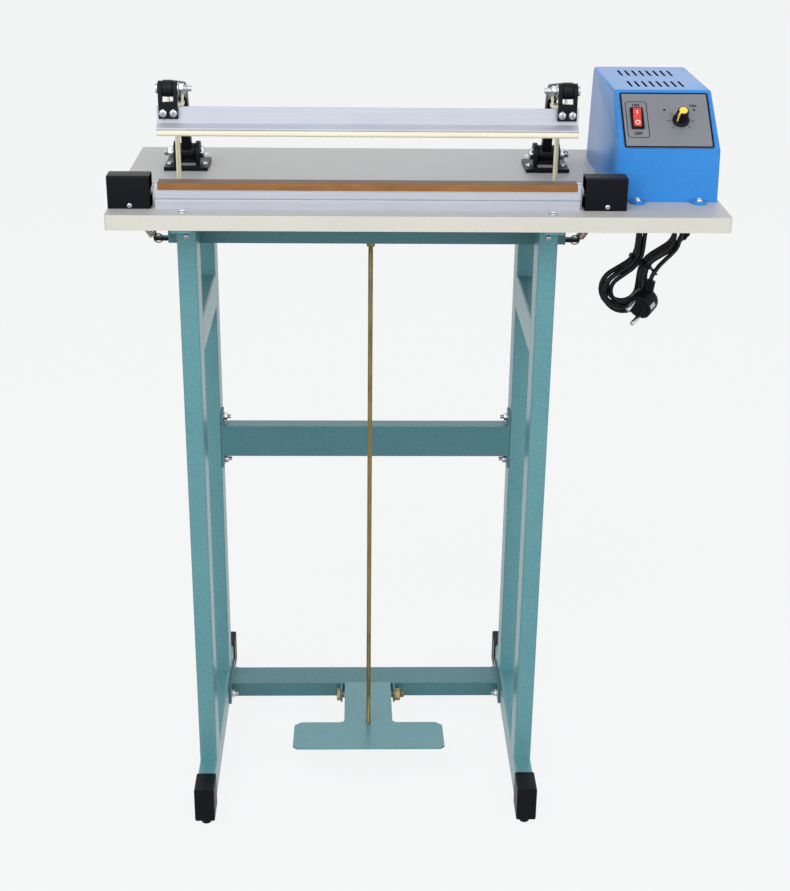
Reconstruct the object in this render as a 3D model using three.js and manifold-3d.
// Foot pedal impulse sealer: a small table on two tube frames, a lower jaw along its front edge,
// and an upper jaw on two arms that a pedal pulls down through a yoke and two rods.
// Millimetres. X runs right from the middle between the leg frames, Y back from the table's front edge, Z up from the floor.
import * as THREE from 'three';
import { mergeVertices } from 'three/addons/utils/BufferGeometryUtils.js';
import Module from 'manifold-3d';

const wasm = await Module();
wasm.setup();

// ---------- Driving dimensions ----------
const gap = 0.3;
const overrun = 1;
const weld = 1e-3;
const sides = [['left', -1], ['right', 1]];

const tube = { width: 19, depth: 38, wall: 1.5, corner: 2 };
const table = { top: 698, thick: 15, left: 251, right: 349, depth: 298, corner: 3 };
const stand = {
  legX: 179, frontLegY: 66.5, rearLegInset: 41, strapThick: 3, strapInset: 2, railZ: 548,
  barFront: -11.5, barRearReach: 36.5,
};
const foot = { height: 11.5, radius: 7, neck: 5.5, inset: 16, capWall: 1.2, capLength: 32 };
const midRail = { z: 364.5, plateThick: 2.5, plateHeight: 68, plateDepth: 24 };
const lowRail = { rise: 2.5, plateThick: 2.5, plateHeight: 24, plateDepth: 68, earInner: 31.5, earThick: 2.5 };
const hingeBolt = { radius: 4, headRadius: 7.5, headThick: 4.5, nutThick: 6.5, tail: 11 };
const pedal = {
  x: 3.5, reach: 12, ear: 9, rise: 14.6, thick: 2.5, tilt: THREE.MathUtils.degToRad(7.4),
  front: 174.6, rear: 108.8, width: 174, stemWidth: 57, rearChamfer: 8, frontChamfer: 5, fillet: 6,
  flangeFront: 3, flangeReach: 112, slotPlay: 0.8, slotBack: 4.6,
};
const press = { rodX: 191.5, rodY: 120, rodRadius: 2.5, nutRadius: 5, nutThick: 4, washerRadius: 6.5, washerThick: 1 };
const yoke = { half: 204.5, bottom: 640, slotPlay: 0.6, slotFront: 5, hookReach: 14.5, hookWidth: 8, hookThick: 3 };
const springs = {
  wire: 0.6, coil: 3.9, turns: 20, steps: 8, facets: 5, footOut: 11.5, lean: 27,
  anchorLength: 14, anchorWidth: 14, anchorThick: 2.5, endRun: 2.4, endShare: 1 / 2,
};
const fork = { play: 0.9, cheek: 2, width: 12, drop: 14.5, base: 3, pinPlay: 1.2, nutThick: 5 };
const slot = { width: 9, front: 14, back: 4.5 };
const arm = {
  pivotY: 207, pivotZ: 15, drumRadius: 9.5, drumWidth: 18.4, thick: 10, stem: 15, elbowFront: 20.5, elbowRise: 92.6,
  crookFront: 30.1, crookRise: 78.4, bossRadius: 8, pinRise: 96, pinRadius: 2.5, pinReach: 10,
  outerBend: 30, innerBend: 20, boltRadius: 4,
};
const pivotBracket = {
  width: 46, front: 25, back: 25, thick: 4, earThick: 4.5, earRadius: 12,
  windowLength: 32, boltHead: 6.5, boltHeadThick: 4, washer: 7.5, washerThick: 1, nutThick: 6, tail: 4,
};
const jaw = {
  half: 203, pivotY: 58, pivotZ: 109, holderFront: 12.5, holderBack: 3.5, holderBottom: 71.4, holderThick: 5.6,
  lipLow: 3.6, lipHigh: 6.6, web: 4, webTop: 92, groove: 9, grooveDepth: 2.6, fillet: 1.5,
};
const rubber = { width: 15, thick: 5.9, round: 1.5 };
const jawBracket = { earThick: 3.95, earRadius: 7.25, plateTop: 97, plateBottom: 81, boltRadius: 3 };
const jawBolt = { headRadius: 5, headThick: 2.5, washerRadius: 6, washerThick: 1.2, nutRadius: 5, nutThick: 5, tail: 7 };
const lowerJaw = {
  half: 205, front: 25, depth: 16, height: 24.5, flange: 15, flangeThick: 4, groove: 1.2, grooveZ: 9, round: 1, fillet: 2,
};
const band = { width: 5, thick: 0.3 };
const cloth = { thick: 0.4, lift: 0.35, skirt: 6, inset: 1 };
const cover = { innerPlay: 2, reach: 43.5, front: 23.5, back: 45.5, height: 32, wall: 1.5, corner: 2 };
const clip = { post: 4, postOut: 21, postTop: 15, width: 6, thick: 1.6, bendOut: 6, low: 12 };
const housing = {
  left: 243, width: 104, front: 60, back: 262, height: 99.5, frontHeight: 52.4, slopeBack: 120, wall: 2.5,
  edge: 3, round: 7, draft: 2.6, lugRadius: 7.5, lugThick: 3, lugLeft: 23, lugRight: 20, lugReach: 5.5, lugHole: 2.2,
};
const vents = { count: 8, firstShare: 0.2327, pitchShare: 0.0721, width: 2.5, length: 32, frontRow: 93, rearRow: 156 };
const panel = { widthShare: 0.85, length: 69.8, start: 1.4, thick: 1.2, corner: 2 };
const rocker = {
  xShare: -0.2813, s: 37.4, bezelWidth: 12.8, bezelLength: 26.3, bezelThick: 1.6, wall: 0.8, bodyDepth: 12, floor: 2,
  bezelRound: 1, width: 8, length: 20, rise: 1.8, dip: 0.5, depth: 4, pivotDepth: 2, throwAngle: THREE.MathUtils.degToRad(11), play: 1,
};
const knob = {
  xShare: 0.1337, s: 35.2, skirtRadius: 8.8, skirt: 2.2, bodyRadius: 7, topRadius: 6.2, height: 15, bore: 8,
  shaftRadius: 3, step: 1, pointerWidth: 1.6, pointerThick: 0.8, bushRadius: 4, restAngle: THREE.MathUtils.degToRad(135),
};
const board = { length: 46, width: 44, thick: 1.6, depth: 13, potRadius: 8, relay: 15, relayHeight: 12, relayShift: 13 };
const transformer = {
  xShare: -0.03, y: 188, coreWidthShare: 0.596, coreDepth: 30, coreHeight: 52, coilWidthShare: 0.3654,
  coilDepth: 46, coilHeight: 34, coilRound: 6, footThick: 2, footWidthShare: 0.75,
};
const cord = { radius: 2.25, facets: 8, step: 10 };
const leadPlaces = [
  [330, 103.5, 667.7], [330, 103.5, 663], [329.1, 103.5, 656.4], [326.4, 103.5, 651.2], [322.3, 103.5, 647.3],
  [315.6, 103.5, 642.6], [310.6, 103.5, 639], [306.4, 103.5, 636.1],
];
const tailPlaces = [
  [317.7, 88.5, 652.9], [317.8, 88.4, 648.4], [315, 86, 643], [309.4, 81.4, 638.5], [302.6, 76, 634.2],
  [296, 70.6, 629.6], [291, 66.4, 624.6], [288.1, 65.1, 619.6], [287.1, 65, 615.3],
];
const gland = { x: 330, y: 103.5, flangeRadius: 9, flange: 3, bodyRadius: 6, body: 12 };
const hank = {
  x: 281, y: 96, z: -71, lean: THREE.MathUtils.degToRad(29.4), fold: 13.5, waist: 2.6, waistBend: 30,
  spread: THREE.MathUtils.degToRad(25), pitch: 5, quarterShares: [1 / 6, 1 / 6],
  turns: 6, layers: 4, steps: 24, facets: 6, climbTurns: 0.5, startTurn: -0.06, endTurn: 5.83, endRun: 4.5,
};
const tie = { width: 4, thick: 1.4, play: 0.5, ends: 9 };
const plug = {
  x: 282.4, y: 65, z: -104, radius: 15.5, back: 11, depth: 24, crownShare: 0.7, reliefRadius: 5.2, reliefTip: 3.6,
  reliefLength: 21.5, ribShare: 0.4, faceShares: [-0.55, -0.7, -0.45], pinShares: [0.28, 0.35, -0.9],
  entryShares: [0.217, 0, 0.976],
  pinRadius: 2.4, pinLength: 19, pinSpread: 9.5, clipWidth: 7, clipThick: 0.8, ribs: 4, ribGroove: 0.5,
};

// ---------- Places worked out from them ----------
const underTable = table.top - table.thick;
const legTop = underTable - stand.strapThick;
const barBottom = foot.height + foot.capWall + gap;
const barTop = barBottom + tube.depth;
const legInner = stand.legX - tube.width / 2;
const rearLegY = table.depth - stand.rearLegInset;
const rearLegFront = rearLegY - tube.depth / 2;
const barRear = table.depth + stand.barRearReach;
const hinge = { y: rearLegFront - pedal.reach, z: barBottom + lowRail.rise + tube.width / 2 };
const yokeTop = yoke.bottom + tube.depth;
const springFootX = yoke.half + springs.footOut;
const springHeadX = springFootX + springs.lean;
const coverInner = lowerJaw.half + cover.innerPlay;
const coverOuter = coverInner + cover.reach;
const clipBendX = lowerJaw.half + clip.bendOut;
const clipPostX = lowerJaw.half + clip.postOut;
const armPivot = { y: arm.pivotY, z: table.top + arm.pivotZ };
const jawPivot = { y: jaw.pivotY, z: table.top + jaw.pivotZ };
const rodPin = { y: press.rodY, z: table.top + arm.pinRise };
const slope = Math.atan2(housing.height - housing.frontHeight, housing.slopeBack - housing.front);
const housingX = housing.left + housing.width / 2;
const housingRight = housing.left + housing.width;
const rockerX = housing.width * rocker.xShare;
const knobX = housing.width * knob.xShare;

// ---------- Finishes ----------
const finish = (color, roughness, metalness) =>
  new THREE.MeshStandardMaterial({ color, roughness, metalness, flatShading: true });
const finishes = {
  paint: finish(0x6fa6ac, 0.45, 0.3),
  board: finish(0xdedfdf, 0.3, 0),
  black: finish(0x17181b, 0.5, 0),
  aluminium: finish(0xb9c0cb, 0.35, 0.9),
  cloth: finish(0xa5713f, 0.6, 0),
  rubber: finish(0xefe8cb, 0.6, 0),
  zinc: finish(0xc8be9a, 0.35, 0.85),
  chrome: finish(0xcfd3d6, 0.2, 1),
  blue: finish(0x3f97e8, 0.25, 0),
  panel: finish(0xb4b9c0, 0.4, 0.2),
  red: finish(0xc8281e, 0.35, 0),
  green: finish(0x2d6a42, 0.6, 0),
  copper: finish(0xa8642e, 0.4, 0.7),
  spring: finish(0x8c8478, 0.35, 0.9),
};

// ---------- Shapes ----------
// A closed geometry as a solid that can be joined and cut.
const solid = (geometry) => {
  geometry.deleteAttribute('normal');
  geometry.deleteAttribute('uv');
  const merged = mergeVertices(geometry, weld);
  return new wasm.Manifold(new wasm.Mesh({
    numProp: 3,
    vertProperties: new Float32Array(merged.attributes.position.array),
    triVerts: new Uint32Array(merged.index.array),
  }));
};

const join = (...geometries) => geometries.map(solid).reduce((whole, piece) => whole.add(piece));

const cut = (body, ...cutters) => cutters.reduce((whole, cutter) => whole.subtract(solid(cutter)), body);

const skin = (body) => {
  const mesh = body.getMesh();
  const geometry = new THREE.BufferGeometry();
  geometry.setAttribute('position', new THREE.BufferAttribute(mesh.vertProperties, mesh.numProp));
  geometry.setIndex(new THREE.BufferAttribute(mesh.triVerts, 1));
  return geometry;
};

// A box between two pairs of X, Y and Z; a mirrored piece may give its X pair in either order.
const block = (x, y, z) => {
  const [x0, x1] = [Math.min(...x), Math.max(...x)];
  return new THREE.BoxGeometry(x1 - x0, y[1] - y[0], z[1] - z[0])
    .translate((x0 + x1) / 2, (y[0] + y[1]) / 2, (z[0] + z[1]) / 2);
};

// A round or many-sided bar along one axis, at two places across it.
const bar = (axis, radius, span, across, facets = 24, farRadius = radius) => {
  const [from, to] = [Math.min(...span), Math.max(...span)];
  const tips = span[0] > span[1] ? [radius, farRadius] : [farRadius, radius];
  const geometry = new THREE.CylinderGeometry(tips[0], tips[1], to - from, facets);
  const middle = (from + to) / 2;
  if (axis === 'x') return geometry.rotateZ(-Math.PI / 2).translate(middle, across[0], across[1]);
  if (axis === 'y') return geometry.translate(across[0], middle, across[1]);
  return geometry.rotateX(Math.PI / 2).translate(across[0], across[1], middle);
};

const extrude = (outline, depth) =>
  new THREE.ExtrudeGeometry(outline, { depth, bevelEnabled: false, curveSegments: 4 });

// A Y-Z outline drawn out along X.
const alongX = (outline, span) => {
  const [from, to] = [Math.min(...span), Math.max(...span)];
  const turn = new THREE.Matrix4().set(0, 0, 1, from, 1, 0, 0, 0, 0, 1, 0, 0, 0, 0, 0, 1);
  return extrude(outline, to - from).applyMatrix4(turn);
};

// An X-Z outline drawn out along Y.
const alongY = (outline, [from, to]) => extrude(outline, to - from).rotateX(Math.PI / 2).translate(0, to, 0);

// An X-Y outline drawn out along Z.
const alongZ = (outline, [from, to]) => extrude(outline, to - from).translate(0, 0, from);

// An outline through corner points [u, v, radius], each corner rounded where it has a radius.
const outlineOf = (corners, Path = THREE.Shape) => {
  const path = new Path();
  corners.forEach(([u, v, radius = 0], i) => {
    const here = new THREE.Vector2(u, v);
    const toward = (j) => {
      const other = corners[(j + corners.length) % corners.length];
      return new THREE.Vector2(other[0], other[1]).sub(here).normalize();
    };
    const [back, ahead] = [toward(i - 1), toward(i + 1)];
    const half = Math.acos(THREE.MathUtils.clamp(back.dot(ahead), -1, 1)) / 2;
    const leave = radius ? radius / Math.tan(half) : 0;
    const start = here.clone().addScaledVector(back, leave);
    if (i === 0) path.moveTo(start.x, start.y);
    else path.lineTo(start.x, start.y);
    if (!radius) return;
    const middle = here.clone().addScaledVector(back.clone().add(ahead).normalize(), radius / Math.sin(half));
    const end = here.clone().addScaledVector(ahead, leave);
    const clockwise = back.x * ahead.y - back.y * ahead.x > 0;
    path.absarc(middle.x, middle.y, radius,
      Math.atan2(start.y - middle.y, start.x - middle.x), Math.atan2(end.y - middle.y, end.x - middle.x), clockwise);
  });
  path.closePath();
  return path;
};

const oblong = ([u0, u1], [v0, v1], radius = 0, Path = THREE.Shape) =>
  outlineOf([[u0, v0, radius], [u1, v0, radius], [u1, v1, radius], [u0, v1, radius]], Path);

// The section of a rectangular tube, w by h about a centre.
const tubeSection = (u, v, w, h) => {
  const outline = oblong([u - w / 2, u + w / 2], [v - h / 2, v + h / 2], tube.corner);
  const [iw, ih] = [w / 2 - tube.wall, h / 2 - tube.wall];
  outline.holes.push(oblong([u - iw, u + iw], [v - ih, v + ih], 0, THREE.Path));
  return outline;
};

// An upright lug: straight sides up from its base, and a round top about its hole.
const lug = (y, z, radius, base) => {
  const outline = new THREE.Shape();
  outline.moveTo(y + radius, base);
  outline.absarc(y, z, radius, 0, Math.PI, false);
  outline.lineTo(y - radius, base);
  outline.closePath();
  return outline;
};

// A closed tube swept through many points, each ring square to the path and carried on without twist.
const sweep = (points, radius, facets) => {
  const positions = [];
  const index = [];
  const tangents = points.map((point, i) =>
    points[Math.min(i + 1, points.length - 1)].clone().sub(points[Math.max(i - 1, 0)]).normalize());
  const normal = new THREE.Vector3(0, 1, 0).cross(tangents[0]);
  if (normal.length() < weld) normal.set(1, 0, 0);
  points.forEach((point, i) => {
    normal.addScaledVector(tangents[i], -normal.dot(tangents[i])).normalize();
    const side = new THREE.Vector3().crossVectors(tangents[i], normal);
    for (let k = 0; k < facets; k += 1) {
      const angle = (2 * Math.PI * k) / facets;
      const spot = point.clone().addScaledVector(normal, radius * Math.cos(angle))
        .addScaledVector(side, radius * Math.sin(angle));
      positions.push(spot.x, spot.y, spot.z);
    }
  });
  for (let i = 0; i < points.length - 1; i += 1) {
    for (let k = 0; k < facets; k += 1) {
      const [a, b] = [i * facets + k, i * facets + ((k + 1) % facets)];
      index.push(a, b, b + facets, a, b + facets, a + facets);
    }
  }
  const last = (points.length - 1) * facets;
  for (let k = 1; k < facets - 1; k += 1) {
    index.push(0, k + 1, k);
    index.push(last, last + k, last + k + 1);
  }
  const geometry = new THREE.BufferGeometry();
  geometry.setAttribute('position', new THREE.Float32BufferAttribute(positions, 3));
  geometry.setIndex(index);
  return geometry;
};

// The least gap between stretches of one tube that are more than a few steps apart along it.
const leastGap = (points, radius, skip) => {
  let least = Infinity;
  for (let i = 0; i < points.length; i += 1) {
    for (let j = i + skip; j < points.length; j += 1) {
      least = Math.min(least, points[i].distanceTo(points[j]));
    }
  }
  return least - 2 * radius;
};

const sealer = new THREE.Group();
sealer.position.set((table.left - table.right) / 2, 0, 0);

const place = (name, geometry, material, group = sealer) => {
  geometry.computeVertexNormals();
  const mesh = new THREE.Mesh(geometry, material);
  mesh.name = name;
  group.add(mesh);
  return mesh;
};

// ---------- Table ----------
const tableOutline = oblong([-table.left, table.right], [0, table.depth], table.corner);
for (const [, side] of sides) {
  const x = side * press.rodX;
  tableOutline.holes.push(oblong([x - slot.width / 2, x + slot.width / 2],
    [press.rodY - slot.front, press.rodY + slot.back], slot.width / 2 - gap, THREE.Path));
}
place('table_board', alongZ(tableOutline, [underTable, table.top]), finishes.board);

// ---------- Leg frames ----------
const capFront = stand.barFront - gap - foot.capWall;
const capRear = barRear + gap + foot.capWall;

const footCap = (x, end, inward) => {
  const span = (a, b) => [Math.min(a, b), Math.max(a, b)];
  const mouth = end + inward * foot.capLength;
  const across = tube.width / 2 + gap;
  const outer = across + foot.capWall;
  const y = end + inward * foot.inset;
  const low = barBottom - gap - foot.capWall;
  const body = join(
    alongY(oblong([x - outer, x + outer], [low, barTop + gap + foot.capWall], tube.corner), span(end, mouth)),
    bar('z', foot.neck, [0, low + foot.capWall / 2], [x, y], 20, foot.radius),
  );
  return skin(cut(body, block([x - across, x + across], span(end + inward * foot.capWall, mouth + inward * overrun),
    [barBottom - gap, barTop + gap])));
};

for (const [name, side] of sides) {
  const x = side * stand.legX;
  const width = [x - tube.width / 2, x + tube.width / 2];
  place(`${name}_top_strap`, block(width, [stand.strapInset, table.depth - stand.strapInset], [legTop, underTable]),
    finishes.paint);
  place(`${name}_front_leg`, alongZ(tubeSection(x, stand.frontLegY, tube.width, tube.depth), [barTop, legTop]),
    finishes.paint);
  place(`${name}_rear_leg`, alongZ(tubeSection(x, rearLegY, tube.width, tube.depth), [barTop, legTop]),
    finishes.paint);
  place(`${name}_side_rail`, alongY(tubeSection(x, stand.railZ, tube.width, tube.depth),
    [stand.frontLegY + tube.depth / 2, rearLegFront]), finishes.paint);
  place(`${name}_base_bar`, alongY(tubeSection(x, (barBottom + barTop) / 2, tube.width, tube.depth),
    [stand.barFront, barRear]), finishes.paint);
  place(`${name}_front_cap`, footCap(x, capFront, 1), finishes.black);
  place(`${name}_rear_cap`, footCap(x, capRear, -1), finishes.black);
}

// ---------- Rails between the frames, each with its end plates ----------
{
  const inner = legInner - midRail.plateThick;
  const spanY = [rearLegFront, rearLegFront + midRail.plateDepth];
  const spanZ = [midRail.z - midRail.plateHeight / 2, midRail.z + midRail.plateHeight / 2];
  const rail = block([-inner, inner], [rearLegFront, rearLegFront + tube.width],
    [midRail.z - tube.depth / 2, midRail.z + tube.depth / 2]);
  const plates = sides.map(([, side]) => block([side * inner, side * legInner], spanY, spanZ));
  place('mid_rail', skin(join(rail, ...plates)), finishes.paint);
}
{
  const inner = legInner - lowRail.plateThick;
  const bottom = barBottom + lowRail.rise;
  const middle = rearLegFront + tube.depth / 2;
  const spanY = [middle - lowRail.plateDepth / 2, middle + lowRail.plateDepth / 2];
  const rail = block([-inner, inner], [rearLegFront, rearLegFront + tube.depth], [bottom, bottom + tube.width]);
  const plates = sides.map(([, side]) =>
    block([side * inner, side * legInner], spanY, [barBottom, barBottom + lowRail.plateHeight]));
  const ears = sides.flatMap(([, side]) => {
    const span = [pedal.x + side * lowRail.earInner, pedal.x + side * (lowRail.earInner + lowRail.earThick)];
    return [
      block(span, [hinge.y, rearLegFront + overrun], [hinge.z - tube.width / 2, hinge.z + tube.width / 2]),
      bar('x', tube.width / 2, span, [hinge.y, hinge.z]),
    ];
  });
  const reach = lowRail.earInner + lowRail.earThick + overrun;
  place('lower_rail', skin(cut(join(rail, ...plates, ...ears),
    bar('x', hingeBolt.radius + gap, [pedal.x - reach, pedal.x + reach], [hinge.y, hinge.z]))), finishes.paint);
  const head = reach - overrun;
  place('pedal_hinge_bolt', skin(join(
    bar('x', hingeBolt.radius, [pedal.x - head - overrun, pedal.x + head + hingeBolt.tail], [hinge.y, hinge.z]),
    bar('x', hingeBolt.headRadius, [pedal.x - head - hingeBolt.headThick, pedal.x - head], [hinge.y, hinge.z], 6),
    bar('x', hingeBolt.headRadius, [pedal.x + head, pedal.x + head + hingeBolt.nutThick], [hinge.y, hinge.z], 6),
  )), finishes.zinc);
}

// ---------- Pedal, drawn along its own plate and tilted up at its hinge ----------
const pedalGroup = new THREE.Group();
pedalGroup.position.set(pedal.x, hinge.y, hinge.z);
pedalGroup.rotation.x = -pedal.tilt;
sealer.add(pedalGroup);
{
  const [half, stem] = [pedal.width / 2, pedal.stemWidth / 2];
  const back = pedal.ear / 2;
  const [front, rear] = [-pedal.front, -pedal.rear];
  const outline = outlineOf([
    [-stem, back], [-stem, rear, pedal.fillet], [-half + pedal.rearChamfer, rear], [-half, rear - pedal.rearChamfer],
    [-half, front + pedal.frontChamfer], [-half + pedal.frontChamfer, front], [half - pedal.frontChamfer, front],
    [half, front + pedal.frontChamfer], [half, rear - pedal.rearChamfer], [half - pedal.rearChamfer, rear],
    [stem, rear, pedal.fillet], [stem, back],
  ]);
  const flange = new THREE.Shape();
  flange.moveTo(back, pedal.rise);
  flange.lineTo(-pedal.flangeReach, pedal.rise);
  flange.lineTo(-pedal.flangeReach, pedal.rise - pedal.thick - pedal.flangeFront);
  flange.absarc(0, 0, pedal.ear, -Math.PI / 2, 0, false);
  flange.closePath();
  const flanges = sides.map(([, side]) => alongX(flange, [side * (stem - pedal.thick), side * stem]));
  const rodReach = (hinge.y - press.rodY + pedal.rise * Math.sin(pedal.tilt)) / Math.cos(pedal.tilt);
  const hole = oblong([-press.rodRadius - pedal.slotPlay, press.rodRadius + pedal.slotPlay],
    [-rodReach - press.rodRadius - pedal.slotPlay, -rodReach + press.rodRadius + pedal.slotBack], press.rodRadius);
  place('pedal_plate', skin(cut(join(alongZ(outline, [pedal.rise - pedal.thick, pedal.rise]), ...flanges),
    alongZ(hole, [pedal.rise - pedal.thick - overrun, pedal.rise + overrun]),
    bar('x', hingeBolt.radius + gap, [-stem - overrun, stem + overrun], [0, 0]))), finishes.paint, pedalGroup);
}

// ---------- Yoke and the pedal rod that pulls it ----------
{
  const depth = tube.width / 2;
  const spanY = [press.rodY - depth, press.rodY + depth];
  const inside = [press.rodY - depth + tube.wall, press.rodY + depth - tube.wall];
  const hooks = sides.map(([, side]) => block(
    [side * (yoke.half - yoke.hookReach), side * (springFootX + yoke.hookWidth / 2)],
    [press.rodY - yoke.hookWidth / 2, press.rodY + yoke.hookWidth / 2],
    [yoke.bottom + tube.wall / 2, yoke.bottom + tube.wall + yoke.hookThick]));
  const beam = cut(join(block([-yoke.half, yoke.half], spanY, [yoke.bottom, yokeTop])),
    block([-yoke.half - overrun, yoke.half + overrun], inside, [yoke.bottom + tube.wall, yokeTop - tube.wall]));
  const withHooks = hooks.map(solid).reduce((whole, hook) => whole.add(hook), beam);
  const width = press.rodRadius + yoke.slotPlay;
  const rodSlots = sides.flatMap(([, side]) => {
    const x = side * press.rodX;
    const low = [yoke.bottom - overrun, yoke.bottom + tube.wall + yoke.hookThick + overrun];
    return [
      alongZ(oblong([x - width, x + width], [press.rodY - width - yoke.slotPlay, press.rodY + width]), low),
      alongZ(oblong([x - width, x + width], [press.rodY - width - yoke.slotFront, press.rodY + width]),
        [yokeTop - tube.wall - overrun, yokeTop + overrun]),
    ];
  });
  const rodHole = bar('z', press.rodRadius + gap, [yoke.bottom - overrun, yokeTop + overrun],
    [pedal.x, press.rodY]);
  place('yoke_beam', skin(cut(withHooks, ...rodSlots, rodHole)), finishes.paint);
}
{
  const plateZ = hinge.z + (pedal.rise - pedal.thick) / Math.cos(pedal.tilt)
    + (hinge.y - press.rodY) * Math.tan(pedal.tilt);
  const bearing = plateZ - press.washerRadius * Math.tan(pedal.tilt) - gap;
  const at = [pedal.x, press.rodY];
  const nut = (z, thick) => bar('z', press.nutRadius, [z, z + thick], at, 6);
  const washer = (z) => bar('z', press.washerRadius, [z, z + press.washerThick], at, 20);
  place('pedal_rod', skin(join(
    bar('z', press.rodRadius, [bearing - 2 * press.nutThick, yokeTop + press.nutThick / 2], at, 16),
    washer(bearing - press.washerThick),
    nut(bearing - press.washerThick - press.nutThick, press.nutThick),
    nut(yokeTop, press.nutThick),
    washer(yoke.bottom - press.washerThick), nut(yoke.bottom - press.washerThick - press.nutThick, press.nutThick),
  )), finishes.zinc);
}

// ---------- Pull rods, each with a fork round its arm ----------
for (const [name, side] of sides) {
  const x = side * press.rodX;
  const at = [x, press.rodY];
  const inner = arm.thick / 2 + fork.play;
  const outer = inner + fork.cheek;
  const floor = rodPin.z - fork.drop;
  const cheeks = sides.map(([, hand]) => alongX(
    lug(press.rodY, rodPin.z, fork.width / 2, floor), [x + hand * inner, x + hand * outer]));
  const body = join(
    bar('z', press.rodRadius, [yoke.bottom - gap - fork.nutThick - press.nutThick, floor + fork.base / 2], at, 16),
    bar('z', press.nutRadius, [yoke.bottom - gap - fork.nutThick, yoke.bottom - gap], at, 20, press.rodRadius),
    bar('z', press.nutRadius, [floor - press.nutThick, floor + fork.base / 2], at, 6),
    block([x - outer, x + outer], [press.rodY - fork.width / 2, press.rodY + fork.width / 2], [floor, floor + fork.base]),
    ...cheeks,
  );
  place(`${name}_pull_rod`, skin(cut(body, bar('x', arm.pinRadius + fork.pinPlay,
    [x - outer - overrun, x + outer + overrun], [press.rodY, rodPin.z]))), finishes.zinc);
}

// ---------- Arms ----------
for (const [name, side] of sides) {
  const x = side * press.rodX;
  const outline = outlineOf([
    [armPivot.y + arm.stem / 2, armPivot.z],
    [armPivot.y - arm.elbowFront, table.top + arm.elbowRise, arm.outerBend],
    [jawPivot.y, jawPivot.z + arm.bossRadius], [jawPivot.y, jawPivot.z - arm.bossRadius],
    [armPivot.y - arm.crookFront, table.top + arm.crookRise, arm.innerBend],
    [armPivot.y - arm.stem / 2, armPivot.z],
  ]);
  const boss = (radius, half, spot) => bar('x', radius, [x - half, x + half], [spot.y, spot.z], 28);
  const body = join(
    alongX(outline, [x - arm.thick / 2, x + arm.thick / 2]),
    boss(arm.drumRadius, arm.drumWidth / 2, armPivot),
    boss(arm.bossRadius, arm.thick / 2, jawPivot),
    bar('x', arm.pinRadius, [x - arm.pinReach, x + arm.pinReach], [rodPin.y, rodPin.z], 16),
  );
  place(`${name}_arm`, skin(cut(body,
    boss(arm.boltRadius + gap, arm.drumWidth / 2 + overrun, armPivot),
    boss(jawBracket.boltRadius + gap, arm.thick / 2 + overrun, jawPivot))), finishes.black);
}

// ---------- Brackets that carry the arms on the table, and their bolts ----------
for (const [name, side] of sides) {
  const x = side * press.rodX;
  const inner = arm.drumWidth / 2 + gap;
  const outer = inner + pivotBracket.earThick;
  const base = table.top + pivotBracket.thick;
  const at = [armPivot.y, armPivot.z];
  const body = join(
    block([x - pivotBracket.width / 2, x + pivotBracket.width / 2],
      [arm.pivotY - pivotBracket.front, arm.pivotY + pivotBracket.back], [table.top, base]),
    ...sides.map(([, hand]) => alongX(lug(at[0], at[1], pivotBracket.earRadius, table.top + gap),
      [x + hand * inner, x + hand * outer])),
  );
  place(`${name}_pivot_bracket`, skin(cut(body,
    block([x - inner, x + inner], [arm.pivotY - pivotBracket.windowLength / 2, arm.pivotY + pivotBracket.windowLength / 2],
      [table.top - overrun, base + overrun]),
    bar('x', arm.boltRadius + gap, [x - outer - overrun, x + outer + overrun], at))), finishes.black);
  const out = (distance) => x + side * distance;
  place(`${name}_pivot_bolt`, skin(join(
    bar('x', arm.boltRadius, [out(-outer - overrun), out(outer + pivotBracket.nutThick + pivotBracket.tail)], at),
    bar('x', pivotBracket.boltHead, [out(-outer - pivotBracket.boltHeadThick), out(-outer)], at, 6),
    bar('x', pivotBracket.washer, [out(outer), out(outer + pivotBracket.washerThick)], at),
    bar('x', pivotBracket.boltHead, [out(outer + pivotBracket.washerThick), out(outer + pivotBracket.nutThick)], at, 6),
  )), finishes.chrome);
}

// ---------- Upper jaw: bar, rubber, brackets and bolts ----------
const jawZ = (rise) => table.top + rise;
const webY = [jaw.pivotY - jaw.web, jaw.pivotY];
{
  const [front, back] = [jaw.pivotY - jaw.holderFront, jaw.pivotY + jaw.holderBack];
  const [low, high] = [jawZ(jaw.holderBottom), jawZ(jaw.holderBottom + jaw.holderThick)];
  const middle = (front + back) / 2;
  const outline = outlineOf([
    [front, low], [middle - jaw.groove / 2, low], [middle - jaw.groove / 2, low + jaw.grooveDepth],
    [middle + jaw.groove / 2, low + jaw.grooveDepth], [middle + jaw.groove / 2, low],
    [back, low], [back, high], [webY[1], high, jaw.fillet],
    [webY[1], jawZ(jaw.webTop)], [webY[0], jawZ(jaw.webTop)], [webY[0], low + jaw.lipHigh], [front, low + jaw.lipLow],
  ]);
  place('jaw_bar', alongX(outline, [-jaw.half, jaw.half]), finishes.aluminium);
  const face = low - gap;
  const [rubberFront, rubberBack] = [middle - rubber.width / 2, middle + rubber.width / 2];
  const strip = outlineOf([
    [rubberFront, face - rubber.thick, rubber.round], [rubberBack, face - rubber.thick, rubber.round], [rubberBack, face],
    [middle + jaw.groove / 2 - gap, face], [middle + jaw.groove / 2 - gap, low + jaw.grooveDepth - gap],
    [middle - jaw.groove / 2 + gap, low + jaw.grooveDepth - gap], [middle - jaw.groove / 2 + gap, face],
    [rubberFront, face],
  ]);
  place('jaw_rubber', alongX(strip, [-jaw.half, jaw.half]), finishes.rubber);
}
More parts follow.
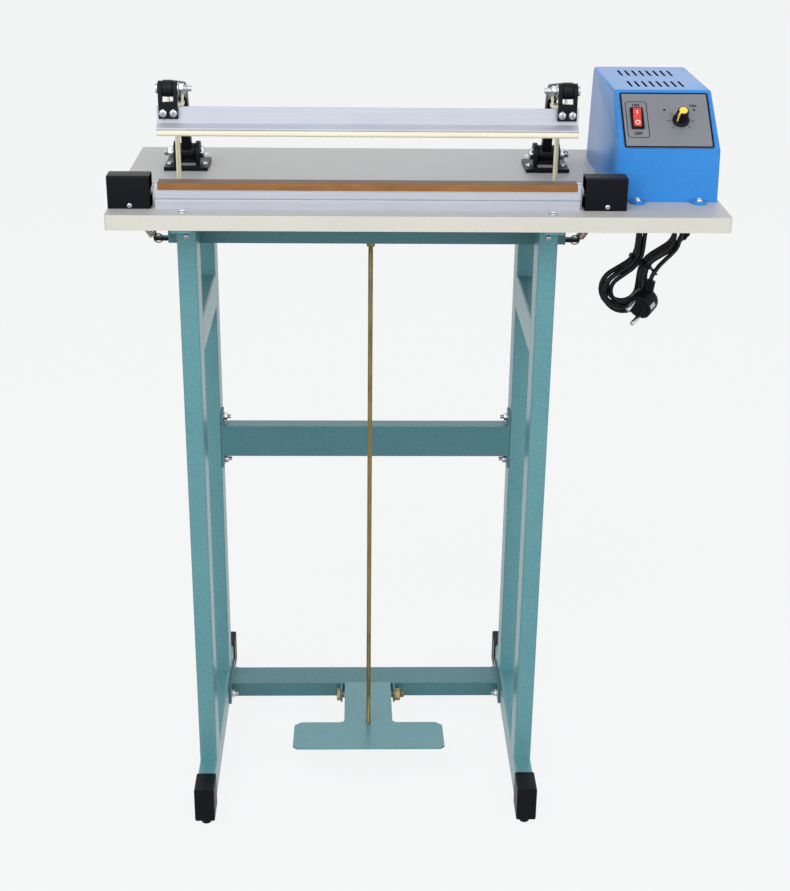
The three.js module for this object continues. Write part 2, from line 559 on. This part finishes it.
for (const [name, side] of sides) {
  const x = side * press.rodX;
  const inner = arm.thick / 2 + gap;
  const outer = inner + jawBracket.earThick;
  const at = [jawPivot.y, jawPivot.z];
  const plateY = [jaw.pivotY - jawBracket.earRadius, webY[0]];
  const body = join(
    block([x - outer, x + outer], plateY, [jawZ(jawBracket.plateBottom), jawZ(jawBracket.plateTop)]),
    ...sides.map(([, hand]) => alongX(lug(at[0], at[1], jawBracket.earRadius, jawZ(jaw.webTop) + 2 * gap),
      [x + hand * inner, x + hand * outer])),
  );
  place(`${name}_jaw_bracket`, skin(cut(body,
    bar('x', jawBracket.boltRadius + gap, [x - outer - overrun, x + outer + overrun], at))), finishes.black);
  const out = (distance) => x + side * distance;
  const nutEnd = -outer - jawBolt.washerThick - jawBolt.nutThick;
  place(`${name}_jaw_bolt`, skin(join(
    bar('x', jawBracket.boltRadius, [out(outer + jawBolt.headThick / 2), out(nutEnd - jawBolt.tail)], at, 16),
    bar('x', jawBolt.headRadius, [out(outer), out(outer + jawBolt.headThick)], at, 20),
    bar('x', jawBolt.washerRadius, [out(-outer - jawBolt.washerThick), out(-outer)], at, 20),
    bar('x', jawBolt.nutRadius, [out(nutEnd), out(-outer - jawBolt.washerThick)], at, 6),
  )), finishes.chrome);
}

// ---------- Lower jaw: bar, heating band, cloth, clips and end covers ----------
const lowerTop = table.top + lowerJaw.height;
const lowerBack = lowerJaw.front + lowerJaw.depth;
{
  const flangeTop = table.top + lowerJaw.flangeThick;
  const grooveZ = table.top + lowerJaw.grooveZ;
  const outline = outlineOf([
    [lowerJaw.front, table.top], [lowerBack + lowerJaw.flange, table.top], [lowerBack + lowerJaw.flange, flangeTop],
    [lowerBack, flangeTop, lowerJaw.fillet], [lowerBack, lowerTop, lowerJaw.round], [lowerJaw.front, lowerTop, lowerJaw.round],
    [lowerJaw.front, grooveZ + lowerJaw.groove], [lowerJaw.front + lowerJaw.groove, grooveZ],
    [lowerJaw.front, grooveZ - lowerJaw.groove],
  ]);
  place('lower_jaw_bar', alongX(outline, [-lowerJaw.half, lowerJaw.half]), finishes.aluminium);
  const middle = lowerJaw.front + lowerJaw.depth / 2;
  place('heating_band', block([-lowerJaw.half, lowerJaw.half], [middle - band.width / 2, middle + band.width / 2],
    [lowerTop, lowerTop + band.thick]), finishes.chrome);
  const under = lowerTop + cloth.lift;
  const [inFront, outFront] = [lowerJaw.front - cloth.lift, lowerJaw.front - cloth.lift - cloth.thick];
  const sheet = outlineOf([
    [lowerBack, under], [lowerBack, under + cloth.thick], [outFront, under + cloth.thick, lowerJaw.round],
    [outFront, lowerTop - cloth.skirt], [inFront, lowerTop - cloth.skirt], [inFront, under, lowerJaw.round - cloth.thick],
  ]);
  const reach = lowerJaw.half - cloth.inset;
  place('ptfe_cloth', alongX(sheet, [-reach, reach]), finishes.cloth);
  for (const [name, side] of sides) {
    const walls = [side * coverInner, side * coverOuter];
    const shell = solid(alongX(oblong([cover.front, cover.back], [table.top - cover.corner, table.top + cover.height],
      cover.corner), walls));
    place(`${name}_end_cover`, skin(cut(shell,
      block([side * (coverInner - overrun), side * (coverOuter - cover.wall)],
        [cover.front + cover.wall, cover.back - cover.wall],
        [table.top - cover.corner - overrun, table.top + cover.height - cover.wall]),
      block([side * (coverInner - overrun), side * (coverOuter + overrun)],
        [cover.front - overrun, cover.back + overrun], [table.top - cover.corner - overrun, table.top]),
    )), finishes.black);
    const start = side * (lowerJaw.half + gap);
    const ribbon = outlineOf([
      [start, lowerTop + band.thick], [start, lowerTop + band.thick - clip.thick],
      [side * clipBendX - side * clip.thick, table.top + clip.low], [side * clipPostX, table.top + clip.low],
      [side * clipPostX, table.top + clip.low + clip.thick], [side * clipBendX, table.top + clip.low + clip.thick],
      [start + side * clip.thick, lowerTop + band.thick],
    ]);
    place(`${name}_heater_clip`, skin(join(
      alongY(ribbon, [middle - clip.width / 2, middle + clip.width / 2]),
      bar('z', clip.post, [table.top, table.top + clip.postTop], [side * clipPostX, middle], 20),
    )), finishes.chrome);
  }
}

// ---------- Return springs between the yoke's hooks and their anchors under the table ----------
const springPath = (side) => {
  const foot = new THREE.Vector3(side * springFootX, press.rodY, yoke.bottom + tube.wall + yoke.hookThick + gap);
  const head = new THREE.Vector3(side * springHeadX, press.rodY, underTable - springs.anchorThick - gap);
  const run = new THREE.Vector3(0, 0, springs.endRun);
  const [low, high] = [foot.clone().add(run), head.clone().sub(run)];
  const axis = high.clone().sub(low);
  const across = new THREE.Vector3(0, 1, 0);
  const beside = new THREE.Vector3().crossVectors(axis, across).normalize();
  const count = springs.turns * springs.steps;
  const points = [foot, foot.clone().lerp(low, springs.endShare)];
  for (let i = 0; i <= count; i += 1) {
    const share = i / count;
    const angle = 2 * Math.PI * springs.turns * share;
    const grown = Math.min(1, Math.min(i, count - i) / springs.steps);
    points.push(low.clone().addScaledVector(axis, share)
      .addScaledVector(across, springs.coil * grown * Math.cos(angle))
      .addScaledVector(beside, springs.coil * grown * Math.sin(angle)));
  }
  points.push(head.clone().lerp(high, springs.endShare), head);
  return points;
};

for (const [name, side] of sides) {
  const path = springPath(side);
  place(`${name}_return_spring`, sweep(path, springs.wire, springs.facets), finishes.spring);
  console.log(`${name} spring: least gap to itself`, leastGap(path, springs.wire, springs.steps - 2).toFixed(2));
  const x = side * springHeadX;
  place(`${name}_spring_anchor`, block([x - springs.anchorLength / 2, x + springs.anchorLength / 2],
    [press.rodY - springs.anchorWidth / 2, press.rodY + springs.anchorWidth / 2],
    [underTable - springs.anchorThick, underTable]), finishes.black);
}

// ---------- Control housing: one moulded shell with a sloped front for the panel ----------
const housingTop = table.top + housing.height;
const slopeFoot = { y: housing.front, z: table.top + housing.frontHeight };

// The housing's side view, drawn in by an even wall.
const housingOutline = (inset, bottom, radius) => {
  const [front, back, top] = [housing.front + inset, housing.back - inset, housingTop - inset];
  const bevel = inset * Math.tan(slope / 2);
  const crown = inset * Math.tan((Math.PI / 2 - slope) / 2);
  return outlineOf([
    [front, bottom], [back, bottom], [back, top, radius], [housing.slopeBack + bevel, top],
    [front, slopeFoot.z - crown],
  ]);
};

const drafted = (geometry) => {
  const spots = geometry.attributes.position;
  for (let i = 0; i < spots.count; i += 1) {
    const share = (spots.getZ(i) - table.top) / housing.height;
    const half = housing.width / 2;
    spots.setX(i, housingX + (spots.getX(i) - housingX) * (1 - (share * housing.draft) / half));
  }
  return geometry;
};

const panelGroup = new THREE.Group();
panelGroup.position.set(housingX, slopeFoot.y, slopeFoot.z);
panelGroup.rotation.x = slope;
sealer.add(panelGroup);
panelGroup.updateMatrix();

const bezelSpan = (half, centre) => [centre - half, centre + half];
const switchHalf = { width: rocker.width / 2 + gap + rocker.wall, length: rocker.length / 2 + rocker.play + rocker.wall };
{
  const below = table.top - 2 * housing.edge;
  const outer = new THREE.ExtrudeGeometry(housingOutline(housing.edge, below, housing.round - housing.edge), {
    depth: housing.width - 2 * housing.edge, bevelThickness: housing.edge, bevelSize: housing.edge,
    bevelSegments: 3, curveSegments: 4,
  }).applyMatrix4(new THREE.Matrix4().set(0, 0, 1, housing.left + housing.edge, 1, 0, 0, 0, 0, 1, 0, 0, 0, 0, 0, 1));
  const inner = alongX(housingOutline(housing.wall, below, housing.round - housing.wall),
    [housing.left + housing.wall, housingRight - housing.wall]);
  const lugs = [[housing.left + housing.lugLeft, -1], [housingRight - housing.lugRight, -1],
    [housing.left + housing.lugLeft, 1], [housingRight - housing.lugRight, 1]].map(([x, hand]) => ({
    x, y: hand < 0 ? housing.front - housing.lugReach : housing.back + housing.lugReach,
    wall: hand < 0 ? [housing.front - housing.lugReach, housing.front + housing.wall / 2]
      : [housing.back - housing.wall / 2, housing.back + housing.lugReach],
  }));
  const lugTop = table.top + housing.lugThick;
  const skirt = block([housing.left - overrun, housingRight + overrun], [housing.front - overrun, housing.back + overrun],
    [below - overrun - housing.edge, table.top]);
  let shell = cut(solid(drafted(outer)), drafted(inner), skirt);
  for (const spot of lugs) {
    shell = shell
      .add(solid(bar('z', housing.lugRadius, [table.top, lugTop], [spot.x, spot.y], 20)).subtract(
        solid(block([spot.x - housing.lugRadius - overrun, spot.x + housing.lugRadius + overrun],
          [housing.front + housing.wall / 2, housing.back - housing.wall / 2], [table.top - overrun, lugTop + overrun]))))
      .add(solid(block([spot.x - housing.lugRadius, spot.x + housing.lugRadius], spot.wall, [table.top, lugTop])))
      .subtract(solid(bar('z', housing.lugHole, [table.top - overrun, lugTop + overrun], [spot.x, spot.y], 12)));
  }
  const slits = [];
  for (let i = 0; i < vents.count; i += 1) {
    for (const row of [vents.frontRow, vents.rearRow]) {
      const x = housing.left + housing.width * (vents.firstShare + i * vents.pitchShare);
      slits.push(block(bezelSpan(vents.width / 2, x), bezelSpan(vents.length / 2, housing.front + row),
        [housingTop - housing.wall - overrun, housingTop + overrun]));
    }
  }
  const through = [-housing.wall - overrun, overrun];
  const holes = [
    block(bezelSpan(switchHalf.width + gap, rockerX), bezelSpan(switchHalf.length + gap, rocker.s), through),
    bar('z', knob.bushRadius + gap, through, [knobX, knob.s], 20),
  ].map((hole) => hole.applyMatrix4(panelGroup.matrix));
  place('control_housing', skin(cut(shell, ...slits, ...holes)), finishes.blue);
}

// ---------- Panel, switch, knob and timer board, drawn flat on the sloped front ----------
{
  const plate = oblong(bezelSpan((housing.width * panel.widthShare) / 2, 0), [panel.start, panel.start + panel.length], panel.corner);
  plate.holes.push(
    oblong(bezelSpan(switchHalf.width + gap, rockerX), bezelSpan(switchHalf.length + gap, rocker.s), 0, THREE.Path),
  );
  const face = gap + panel.thick;
  place('control_panel', skin(cut(solid(alongZ(plate, [gap, face])),
    bar('z', knob.bushRadius + gap, [-overrun, face + overrun], [knobX, knob.s], 20))), finishes.panel, panelGroup);

  const pocket = { width: rocker.width / 2 + gap, length: rocker.length / 2 + rocker.play };
  const rim = [face + gap, face + gap + rocker.bezelThick];
  place('power_switch', skin(cut(join(
    alongZ(oblong(bezelSpan(rocker.bezelWidth / 2, rockerX), bezelSpan(rocker.bezelLength / 2, rocker.s), rocker.bezelRound), rim),
    block(bezelSpan(switchHalf.width, rockerX), bezelSpan(switchHalf.length, rocker.s), [rim[1] - rocker.bodyDepth, rim[0] + rocker.bezelThick / 2]),
  ), block(bezelSpan(pocket.width, rockerX), bezelSpan(pocket.length, rocker.s),
    [rim[1] - rocker.bodyDepth + rocker.floor, rim[1] + overrun]))), finishes.black, panelGroup);

  const rockerGroup = new THREE.Group();
  rockerGroup.position.set(rockerX, rocker.s, rim[1] - rocker.pivotDepth);
  rockerGroup.rotation.x = rocker.throwAngle;
  panelGroup.add(rockerGroup);
  const half = rocker.length / 2;
  const [high, low] = [rocker.pivotDepth + rocker.rise, rocker.pivotDepth + rocker.dip];
  place('power_rocker', alongX(outlineOf([
    [-half, -rocker.dip], [-half, high], [0, low], [half, high], [half, -rocker.dip],
    [rocker.depth, -rocker.depth], [-rocker.depth, -rocker.depth],
  ]), [-rocker.width / 2, rocker.width / 2]), finishes.red, rockerGroup);

  const knobFoot = face + gap;
  const knobGroup = new THREE.Group();
  knobGroup.position.set(knobX, knob.s, knobFoot);
  knobGroup.rotation.z = knob.restAngle;
  panelGroup.add(knobGroup);
  const profile = [
    [knob.shaftRadius + gap, 0], [knob.skirtRadius, 0], [knob.skirtRadius, knob.skirt], [knob.bodyRadius, knob.skirt + knob.step],
    [knob.topRadius, knob.height], [0, knob.height], [0, knob.bore], [knob.shaftRadius + gap, knob.bore],
    [knob.shaftRadius + gap, 0],
  ].map(([r, z]) => new THREE.Vector2(r, z));
  const pointer = block(bezelSpan(knob.pointerWidth / 2, 0), [0, knob.bodyRadius + knob.pointerThick],
    [knob.bore + knob.skirt, knob.height + knob.pointerThick]);
  place('timer_knob', skin(join(new THREE.LatheGeometry(profile, 28).rotateX(Math.PI / 2), pointer)),
    finishes.black, knobGroup);

  const under = -housing.wall - gap;
  const boardTop = -board.depth;
  place('timer_board', skin(join(
    block(bezelSpan(board.width / 2, knobX), bezelSpan(board.length / 2, knob.s), [boardTop - board.thick, boardTop]),
    bar('z', board.potRadius, [boardTop - board.thick / 2, under], [knobX, knob.s]),
    bar('z', knob.bushRadius, [under - overrun, face], [knobX, knob.s], 20),
    bar('z', knob.shaftRadius, [under, knobFoot + knob.bore - gap], [knobX, knob.s], 16),
    block(bezelSpan(board.relay / 2, knobX + board.relayShift), bezelSpan(board.relay / 2, knob.s - board.relayShift),
      [boardTop - board.thick - board.relayHeight, boardTop - board.thick / 2]),
  )), finishes.green, panelGroup);
}
{
  const x = housingX + housing.width * transformer.xShare;
  const halfOf = (share) => (housing.width * share) / 2;
  const y = transformer.y;
  const low = table.top + transformer.footThick;
  const high = low + transformer.coreHeight;
  const middle = (low + high) / 2;
  const coil = transformer.coilHeight / 2;
  place('transformer', skin(join(
    block(bezelSpan(halfOf(transformer.footWidthShare), x), bezelSpan(transformer.coreDepth / 2, y), [table.top, low + overrun]),
    block(bezelSpan(halfOf(transformer.coreWidthShare), x), bezelSpan(transformer.coreDepth / 2, y), [low, high]),
    alongY(oblong(bezelSpan(halfOf(transformer.coilWidthShare), x), bezelSpan(coil, middle), transformer.coilRound),
      bezelSpan(transformer.coilDepth / 2, y)),
  )), finishes.copper);
}

// ---------- Power cord: gland, lead, hank, tail, tie and plug ----------
// The hank lies in a leaning plane under the table: along is up its length, across is to its right.
const hankAlong = new THREE.Vector3(Math.sin(hank.lean), 0, Math.cos(hank.lean));
const hankAcross = new THREE.Vector3(Math.cos(hank.lean), 0, -Math.sin(hank.lean));
const hankCentre = new THREE.Vector3(hank.x, hank.y, table.top + hank.z);

// A quarter of the inmost loop: out from the waist, along a run, and round the fold to its tip.
// It gives the point and the direction square to the cord, away from the loop's inside.
const runLength = (hank.fold * Math.cos(hank.spread) - hank.waist - hank.waistBend * (1 - Math.cos(hank.spread)))
  / Math.sin(hank.spread);
const loopQuarter = (share) => {
  const [waistShare, runShare] = hank.quarterShares;
  const out = (angle) => new THREE.Vector2(-Math.sin(angle), Math.cos(angle));
  const runStart = new THREE.Vector2(0, hank.waist + hank.waistBend).addScaledVector(out(hank.spread), -hank.waistBend);
  const heading = new THREE.Vector2(Math.cos(hank.spread), Math.sin(hank.spread));
  const runEnd = runStart.clone().addScaledVector(heading, runLength);
  if (share < waistShare) {
    const angle = (hank.spread * share) / waistShare;
    return [new THREE.Vector2(0, hank.waist + hank.waistBend).addScaledVector(out(angle), -hank.waistBend), out(angle)];
  }
  if (share < waistShare + runShare) {
    return [runStart.clone().lerp(runEnd, (share - waistShare) / runShare), out(hank.spread)];
  }
  const angle = hank.spread
    - ((hank.spread + Math.PI / 2) * (share - waistShare - runShare)) / (1 - waistShare - runShare);
  return [runEnd.clone().addScaledVector(out(hank.spread), -hank.fold).addScaledVector(out(angle), hank.fold), out(angle)];
};

// The cord's centre after so many turns: it spirals in and out by one pitch a turn, and climbs a layer
// toward the front along the run where the spiral reverses.
const hankPoint = (turn) => {
  const perLayer = hank.turns / hank.layers;
  const quarters = 4 * (turn - Math.floor(turn));
  const quarter = Math.floor(quarters);
  const share = quarter % 2 === 0 ? quarters - quarter : 1 - (quarters - quarter);
  const [spot, outward] = loopQuarter(share);
  const phase = turn / perLayer;
  const layer = THREE.MathUtils.clamp(Math.floor(phase), 0, hank.layers - 1);
  const inShare = phase - layer;
  spot.addScaledVector(outward, hank.pitch * perLayer * (layer % 2 === 0 ? 1 - inShare : inShare));
  const nearest = THREE.MathUtils.clamp(Math.round(phase), 1, hank.layers - 1);
  const climb = THREE.MathUtils.clamp((turn - nearest * perLayer) / hank.climbTurns, -1 / 2, 1 / 2);
  const level = nearest - 1 / 2 + Math.sin(Math.PI * climb) / 2;
  return hankCentre.clone()
    .addScaledVector(hankAlong, quarter < 2 ? -spot.x : spot.x)
    .addScaledVector(hankAcross, quarter === 0 || quarter === 3 ? spot.y : -spot.y)
    .add(new THREE.Vector3(0, hank.pitch * ((hank.layers - 1) / 2 - level), 0));
};

{
  const points = [];
  const first = hankPoint(hank.startTurn);
  const steps = Math.round((hank.endTurn - hank.startTurn) * hank.steps);
  for (let i = 0; i <= steps; i += 1) {
    points.push(hankPoint(hank.startTurn + ((hank.endTurn - hank.startTurn) * i) / steps));
  }
  const last = points[steps];
  const into = points[1].clone().sub(first).normalize();
  const away = last.clone().sub(hankPoint(hank.endTurn - 1 / (hank.steps * hank.steps))).normalize();
  points.unshift(first.clone().addScaledVector(into, -hank.endRun));
  points.push(last.clone().addScaledVector(away, hank.endRun));
  console.log('cord hank: least gap to itself', leastGap(points, cord.radius, hank.steps / 2).toFixed(2));
  place('cord_hank', sweep(points, cord.radius, hank.facets), finishes.black);

  // The free stretches go through places chosen by hand, from the gland and down to the plug.
  const stretch = (name, places) => {
    const path = new THREE.CatmullRomCurve3(places.map((spot) => new THREE.Vector3(...spot)));
    const circle = new THREE.Shape();
    circle.absarc(0, 0, cord.radius, 0, 2 * Math.PI);
    place(name, new THREE.ExtrudeGeometry(circle, {
      extrudePath: path, steps: Math.ceil(path.getLength() / cord.step), curveSegments: cord.facets / 2,
    }), finishes.black);
  };
  stretch('cord_lead', leadPlaces);
  stretch('cord_tail', tailPlaces);
}
place('cord_gland', skin(join(
  bar('z', gland.flangeRadius, [underTable - gland.flange, underTable], [gland.x, gland.y], 6),
  bar('z', gland.bodyRadius, [underTable - gland.flange - gland.body, underTable - gland.flange / 2], [gland.x, gland.y], 20, cord.radius * 2),
)), finishes.black);
{
  const frame = new THREE.Matrix4().makeBasis(hankAcross, new THREE.Vector3(0, 1, 0), hankAlong).setPosition(hankCentre);
  const across = hank.waist + (hank.pitch * hank.turns) / hank.layers + cord.radius + tie.play;
  const deep = (hank.pitch * (hank.layers - 1)) / 2 + cord.radius + tie.play;
  const ring = (grow) => alongZ(oblong(bezelSpan(across + grow, 0), bezelSpan(deep + grow, 0), cord.radius + tie.play + grow),
    bezelSpan(tie.width / 2 + (grow ? 0 : overrun), 0));
  const ends = sides.map(([, side]) => bar('x', tie.thick, [side * (across + tie.thick / 2), side * (across + tie.ends)],
    [-side * deep / 2, 0], 8));
  place('cord_tie', skin(cut(join(ring(tie.thick), ...ends), ring(0)).transform(frame.elements)), finishes.black);
}
{
  const toward = new THREE.Vector3(...plug.faceShares).normalize();
  const pinLine = new THREE.Vector3(...plug.pinShares);
  pinLine.addScaledVector(toward, -pinLine.dot(toward)).normalize();
  const body = new THREE.Matrix4().makeBasis(pinLine, new THREE.Vector3().crossVectors(toward, pinLine), toward);
  const entry = new THREE.Vector3(...plug.entryShares).normalize();
  const relief = new THREE.Matrix4().makeRotationFromQuaternion(
    new THREE.Quaternion().setFromUnitVectors(new THREE.Vector3(0, 0, 1), entry));
  const shell = new THREE.LatheGeometry([
    [0, -plug.back], [plug.radius * plug.crownShare, -plug.back], [plug.radius, -plug.back * plug.crownShare / 2],
    [plug.radius, plug.depth - plug.back], [0, plug.depth - plug.back],
  ].map(([r, z]) => new THREE.Vector2(r, z)), 24).rotateX(Math.PI / 2);
  const reliefLength = plug.reliefLength;
  const profile = [[0, 0], [plug.reliefRadius, 0], [plug.reliefRadius, plug.radius]];
  for (let i = 0; i < plug.ribs; i += 1) {
    const at = (share) => plug.radius + ((reliefLength - plug.radius) * (i + share)) / plug.ribs;
    const radius = plug.reliefRadius + ((plug.reliefTip - plug.reliefRadius) * (i + 1)) / plug.ribs;
    profile.push([radius - plug.ribGroove, at(0)], [radius - plug.ribGroove, at(plug.ribShare)], [radius, at(plug.ribShare)], [radius, at(1)]);
  }
  profile.push([0, reliefLength]);
  const boot = new THREE.LatheGeometry(profile.map(([r, z]) => new THREE.Vector2(r, z)), 14).rotateX(Math.PI / 2);
  const face = plug.depth - plug.back;
  const pins = sides.map(([, side]) => bar('z', plug.pinRadius, [face - overrun, face + plug.pinLength],
    [side * plug.pinSpread, 0], 14));
  const clips = sides.map(([, side]) => block(bezelSpan(plug.clipWidth / 2, 0),
    side > 0 ? [plug.radius - overrun, plug.radius + plug.clipThick] : [-plug.radius - plug.clipThick, -plug.radius + overrun],
    [0, face - plug.clipThick]));
  const whole = join(shell.applyMatrix4(body), boot.applyMatrix4(relief),
    ...[...pins, ...clips].map((piece) => piece.applyMatrix4(body)));
  const mesh = place('plug', skin(whole), finishes.black);
  mesh.position.set(plug.x, plug.y, table.top + plug.z);
}

sealer.position.y = -(capFront + capRear) / 2;

export default sealer;
